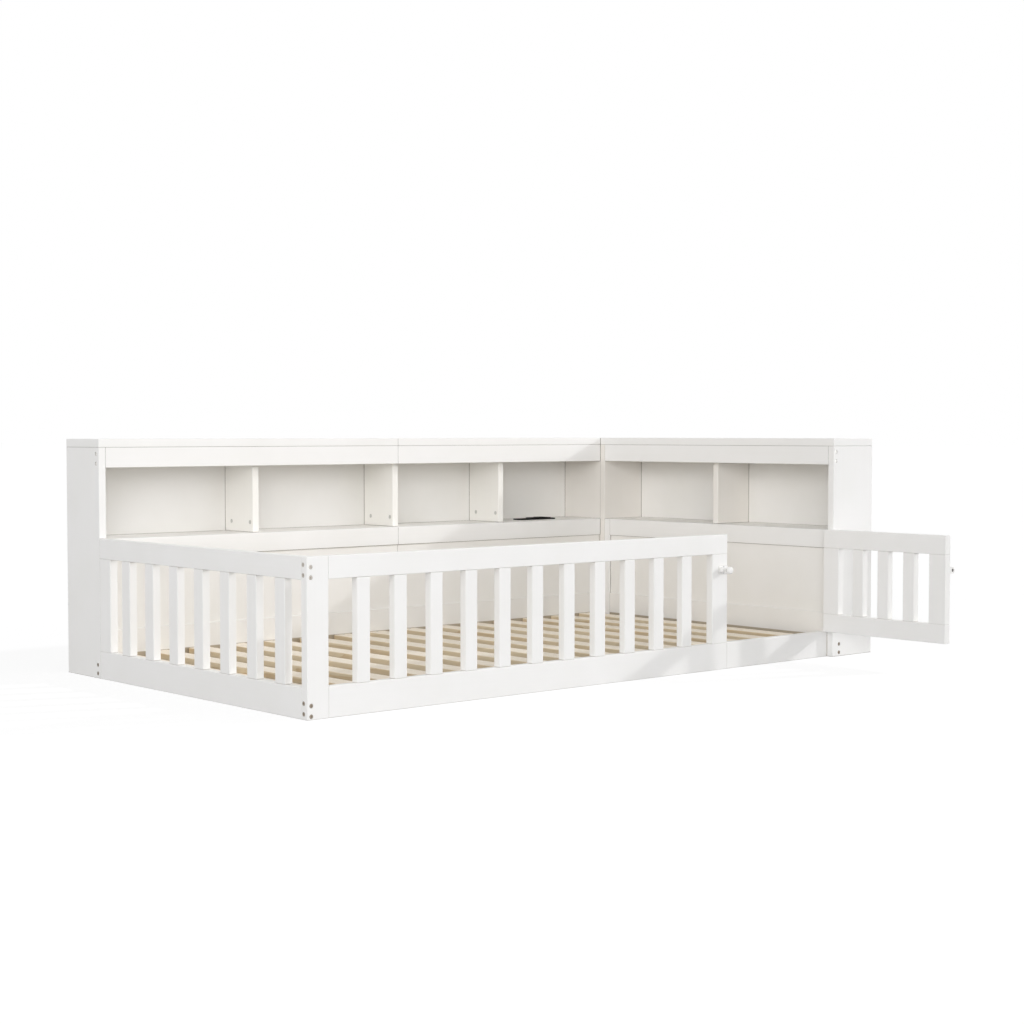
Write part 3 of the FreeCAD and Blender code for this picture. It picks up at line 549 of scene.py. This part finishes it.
def fastener_places(name):
    """Head middles, outward directions and lengths of a node's fasteners, in arrays.

    Corners at one place are welded. Then both ends of every edge take the lower of their numbers, over
    and over, until each fastener has one number."""
    mesh = nodes[name].data
    points = corner_points(name)
    ends = np.empty(2 * len(mesh.edges), dtype=np.int64)
    mesh.edges.foreach_get("vertices", ends)
    weld = np.unique(np.round(points, weld_digits), axis=0, return_inverse=True)[1].reshape(-1)
    ends = weld[ends].reshape(-1, 2)
    number = np.arange(weld.max() + 1)
    settled = False
    while not settled:
        lower = number.copy()
        least = number[ends].min(axis=1)
        np.minimum.at(lower, ends[:, 0], least)
        np.minimum.at(lower, ends[:, 1], least)
        lower = lower[lower]
        settled = np.array_equal(lower, number)
        number = lower
    heads, outward, lengths = [], [], []
    for own in np.unique(number):
        corners = points[number[weld] == own]
        low, high = corners.min(axis=0), corners.max(axis=0)
        axis = np.argmax(high - low)
        middle = (low + high) / 2
        off_axis = np.delete(corners - middle, axis, axis=1)
        widest = corners[np.argmax((off_axis ** 2).sum(axis=1))]
        direction = np.zeros(3)
        direction[axis] = np.sign(widest[axis] - middle[axis])
        heads.append(middle + direction * (high - low) / 2)
        outward.append(direction)
        lengths.append((high - low)[axis])
    return np.array(heads), np.array(outward), np.array(lengths)


bolt_places = fastener_places("frame_bolts")
print("frame bolts found:", len(bolt_places[0]))

# %% [markdown]
# A bolt or a screw is turned on a lathe and its recess is pressed into the head. On a polar grid that
# is one surface: rings around an axis, each with a radius and a height. Rings inside the recess follow
# its outline, a hexagon or a cross, instead of a circle. All copies are set in place at once, each
# turned so that the axis points out of its head.

# %% Turned shapes
sharp_from = math.radians(35)


def turned_shapes(places, rings, outline, scales, points_before=0):
    """Points and faces of turned shapes, each at its place. Faces count from points_before.

    Point (k, u): radius k at angle u, times the outline at u where ring k follows it, and height k
    along the axis; a ring that rides with the tip lies a shape's own length lower. A last point
    on the axis closes each end."""
    heads, outward, lengths = places
    around = len(outline)
    angle = np.linspace(0, 2 * np.pi, around, endpoint=False)
    radius, height, follows, at_tip = rings.T[:, :, None]
    radius = radius * (1 + follows * (outline - 1))
    grid = np.stack((radius * np.cos(angle), radius * np.sin(angle), height + 0 * angle), axis=-1)
    poles = np.zeros((2, 3))
    poles[:, 2] = rings[[0, -1], 1]
    local = np.concatenate((grid.reshape(-1, 3), poles)) * millimetre
    rides = np.concatenate((np.repeat(at_tip, around), at_tip[[0, -1], 0]))
    copies = local[None] * scales[:, None, None]
    copies[:, :, 2] -= rides * lengths[:, None]
    side = np.roll(outward, 1, axis=1)
    third = np.cross(outward, side)
    basis = np.stack((side, third, outward), axis=1)
    world = heads[:, None] + copies @ basis

    ring_start = around * np.arange(len(rings) - 1)[:, None]
    here = np.arange(around)
    after = (here + 1) % around
    quads = np.stack((ring_start + here, ring_start + after, ring_start + around + after,
                      ring_start + around + here), axis=-1).reshape(-1, 4)
    last = around * (len(rings) - 1)
    bottom = np.stack((after, here, np.full(around, len(local) - 2)), axis=-1)
    top = np.stack((last + here, last + after, np.full(around, len(local) - 1)), axis=-1)
    first_point = points_before + len(local) * np.arange(len(heads))[:, None, None]
    faces = [face for part in (quads, bottom, top)
             for face in (part + first_point).reshape(-1, part.shape[1]).tolist()]
    return world.reshape(-1, 3).tolist(), faces


def add_turned(name, points, faces, material, body, slot):
    """A smooth piece of turned shapes that stands for a CAD node."""
    mesh = bpy.data.meshes.new("turned_" + name)
    mesh.from_pydata(points, [], faces)
    mesh.shade_smooth()
    mesh.set_sharp_from_angle(angle=sharp_from)
    mesh.materials.append(material)
    piece = add_to_scene("turned_" + name, mesh)
    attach(piece, body)
    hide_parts(name)
    print(name, "turned,", len(faces), "faces")


# %% [markdown]
# The frame bolts have a cylinder head with a hexagon socket, set just below the face of the board in
# an open hole. A hexagon's outline, seen from its middle, is the distance to a flat side: the flat's
# distance over the cosine of the angle from the flat's middle.

# %% Frame bolts
around = 48
turn = np.linspace(0, 2 * np.pi, around, endpoint=False)
sixth = np.pi / 3
hexagon = np.cos(sixth / 2) / np.cos(turn % sixth - sixth / 2)
# radius and height in millimetres, 1 where the ring follows the recess, 1 where it rides with the tip
bolt_rings = np.array([
    (1.9, 0.0, 0, 1), (2.5, 0.6, 0, 1), (2.5, -4.0, 0, 0), (5.2, -4.0, 0, 0), (5.4, -3.8, 0, 0),
    (5.4, -0.7, 0, 0), (5.3, -0.3, 0, 0), (5.0, -0.05, 0, 0), (4.7, 0.0, 0, 0), (3.1, 0.0, 1, 0),
    (2.85, -0.25, 1, 0), (2.85, -2.6, 1, 0), (1.2, -3.0, 0, 0)])
bolt_shapes = turned_shapes(bolt_places, bolt_rings, hexagon, np.ones(len(bolt_places[0])))
add_turned("frame_bolts", *bolt_shapes, bronze_plated_steel, "frame", "dark_steel")

# %% [markdown]
# The slats, hinge leaves and latch are held by countersunk screws with a cross recess. The cross is
# the union of two slots, and each slot's outline is its half width over the sine of the angle, cut
# off at its half length. The small screws are the large ones at seven tenths.

# %% Wood screws
arm_share = 0.24
# keeps the division from meeting zero
least_sine = 1e-6
slot_along = np.minimum(1, arm_share / np.maximum(np.abs(np.sin(turn)), least_sine))
slot_across = np.minimum(1, arm_share / np.maximum(np.abs(np.cos(turn)), least_sine))
cross = np.maximum(slot_along, slot_across)
screw_rings = np.array([
    (0.3, 0.0, 0, 1), (1.2, 2.6, 0, 1), (1.95, 6.0, 0, 1), (1.95, -1.75, 0, 0), (3.8, -0.3, 0, 0),
    (3.95, -0.1, 0, 0), (3.9, 0.0, 0, 0), (2.4, -0.02, 1, 0), (2.2, -0.15, 1, 0), (1.2, -1.3, 1, 0),
    (0.4, -1.5, 0, 0)])
long_screw = 20 * millimetre
small_share = 0.7
for node, body in (("wood_screws", "frame"), ("gate_screws", "gate")):
    screw_places = fastener_places(node)
    screw_scales = np.where(screw_places[2] > long_screw, 1.0, small_share)
    screw_shapes = turned_shapes(screw_places, screw_rings, cross, screw_scales)
    add_turned(node, *screw_shapes, zinc_plated_steel, body, "zinc_steel")

# %% [markdown]
# The slide bolt is a rod with a peg to push it by. On the photo the peg ends in a wide rounded knob,
# which stands clear of the two guides. Peg and rod are turned shapes as well, one along the peg's own
# direction and one along the rod's, with plain round outlines. The solid tells where their axes lie:
# the foremost corners belong to the peg's end, and the rightmost ones to the rod's.

# %% Slide bolt
bolt_corners = corner_points("latch_bolt")
bolt_low, bolt_high = bolt_corners.min(axis=0), bolt_corners.max(axis=0)
edge_slice = 0.2 * millimetre
peg_end = bolt_corners[bolt_corners[:, y_axis] < bolt_low[y_axis] + edge_slice]
rod_end = bolt_corners[bolt_corners[:, x_axis] > bolt_high[x_axis] - edge_slice]
peg_head = (peg_end.min(axis=0) + peg_end.max(axis=0)) / 2
rod_head = (rod_end.min(axis=0) + rod_end.max(axis=0)) / 2
peg_rings = np.array([
    (7.4, 0.0, 0, 1), (8.0, 0.6, 0, 1), (8.0, -14.6, 0, 0), (9.4, -14.0, 0, 0), (10.4, -12.4, 0, 0),
    (10.9, -9.6, 0, 0), (10.9, -7.0, 0, 0), (10.3, -4.8, 0, 0), (8.9, -3.2, 0, 0), (6.6, -2.3, 0, 0),
    (3.4, -2.0, 0, 0)])
rod_rings = np.array([(3.4, 0.0, 0, 1), (4.0, 0.6, 0, 1), (4.0, -0.6, 0, 0), (3.4, 0.0, 0, 0)])
round_outline = np.ones(around)
bolt_points, bolt_faces = [], []
for head, axis, direction, rings in ((peg_head, y_axis, (0, -1, 0), peg_rings),
                                     (rod_head, x_axis, (1, 0, 0), rod_rings)):
    length = bolt_high[axis] - bolt_low[axis]
    place = (head[None], np.array([direction], float), np.array([length]))
    points, faces = turned_shapes(place, rings, round_outline, np.ones(1), len(bolt_points))
    bolt_points += points
    bolt_faces += faces
add_turned("latch_bolt", bolt_points, bolt_faces, white_powder_coat, "slide_bolt", "white_metal")

# %% [markdown]
# The photo has a bare white ground. The floor is a pale sheet that takes the bed's shadow, and what
# is seen of it, straight or in a gloss, is lifted towards white with Light Path. The light that it
# throws back on the bed stays that of the pale sheet.

# %% Floor
floor_reach = 400.0
floor_shade = linear("#A8A8A8")
pure_white = linear("#FFFFFF")
floor_lift = 0.7
floor_white = 1.08


def seen_rays(tree):
    """1 for rays from the camera, off a gloss or through glass, 0 for the light that falls on things."""
    path = add_node(tree, "ShaderNodeLightPath")
    glossy = add_node(tree, "ShaderNodeMath", {"operation": "MAXIMUM"},
                      {0: path.outputs["Is Camera Ray"], 1: path.outputs["Is Glossy Ray"]})
    seen = add_node(tree, "ShaderNodeMath", {"operation": "MAXIMUM"},
                    {0: glossy.outputs["Value"], 1: path.outputs["Is Transmission Ray"]})
    return seen.outputs["Value"]


floor_mesh = bpy.data.meshes.new("floor")
floor_corners = floor_reach * np.array([(-1, -1, 0), (1, -1, 0), (1, 1, 0), (-1, 1, 0)], float)
floor_mesh.from_pydata(floor_corners.tolist(), [], [(0, 1, 2, 3)])
floor = add_to_scene("floor", floor_mesh)

floor_material = bpy.data.materials.new("pale_floor")
floor_material.use_nodes = True
tree = floor_material.node_tree
tree.nodes.remove(tree.nodes["Principled BSDF"])
pale = add_node(tree, "ShaderNodeBsdfDiffuse", {"Color": floor_shade})
paper = add_node(tree, "ShaderNodeBsdfDiffuse", {"Color": pure_white})
white = add_node(tree, "ShaderNodeEmission", {"Strength": floor_white})
lifted = add_node(tree, "ShaderNodeMixShader", {0: floor_lift},
                  {1: paper.outputs["BSDF"], 2: white.outputs["Emission"]})
ground = add_node(tree, "ShaderNodeMixShader", None,
                  {0: seen_rays(tree), 1: pale.outputs["BSDF"], 2: lifted.outputs["Shader"]})
tree.links.new(ground.outputs["Shader"], tree.nodes["Material Output"].inputs["Surface"])
floor_mesh.materials.append(floor_material)
print("floor lies at height:", floor.location.z)

# %% [markdown]
# The sky is an even white dome, as in a studio with white walls. It is seen at full white, and lights
# the bed with a little less, so that the lamps can give it form. Colours are shown as they are, with
# the Standard view.

# %% Sky
sky_strength = 0.62
world = bpy.data.worlds.new("white_dome")
scene.world = world
world.use_nodes = True
tree = world.node_tree
sky = tree.nodes["Background"]
sky.inputs["Color"].default_value = pure_white
strength = add_node(tree, "ShaderNodeMapRange", {"To Min": sky_strength, "To Max": 1.0},
                    {"Value": seen_rays(tree)})
tree.links.new(strength.outputs["Result"], sky.inputs["Strength"])
scene.view_settings.view_transform = "Standard"
print("share of the sky's light that reaches the bed:", sky_strength)

# %% [markdown]
# A lamp low on the right gives the slanting shadows, the gate's on the sill and the short bookcase's on
# the long one, and broad soft lamps in front fill the open bays. These stand so far off that their
# light is even. One more lamp stands close, so that its light falls off along the bed.

# %% Lamps
# strength, angular size in degrees, and where it stands as seen from the bed
lamps = {
    "low_lamp": (1.12, 1.6, (1.0, -0.416, 0.457)),
    "front_lamp": (1.3, 35.0, (-0.62, -0.75, 0.02)),
    "right_lamp": (0.53, 40.0, (0.5, -0.85, 0.15)),
    "left_lamp": (0.55, 40.0, (-0.95, -0.3, 0.05)),
}
# studio lamps are a little cooler than the lacquer
lamp_colour = linear("#FDFDFF")[:3]
# place, aim and diameter of the close lamp in metres, and its watts
near_place = (-3.0, -1.6, 1.8)
near_aim = (-0.6, 0.2, 0.4)
near_size = 1.5
near_power = 12.5

for name, (power, spread, (east, north, up)) in lamps.items():
    sun = bpy.data.lights.new(name, "SUN")
    sun.energy = power
    sun.color = lamp_colour
    sun.angle = math.radians(spread)
    holder = add_to_scene(name, sun)
    across = math.hypot(east, north)
    holder.rotation_euler = (math.atan2(across, up), 0.0, math.atan2(east, -north))
    print(name, "above the horizon, degrees:", round(math.degrees(math.atan2(up, across)), 1))

near = bpy.data.lights.new("near_lamp", "AREA")
near.shape = "DISK"
near.size = near_size
near.energy = near_power
near.color = lamp_colour
holder = add_to_scene("near_lamp", near)
holder.location = near_place
holder.rotation_euler = (Vector(near_aim) - Vector(near_place)).to_track_quat("-Z", "Y").to_euler()
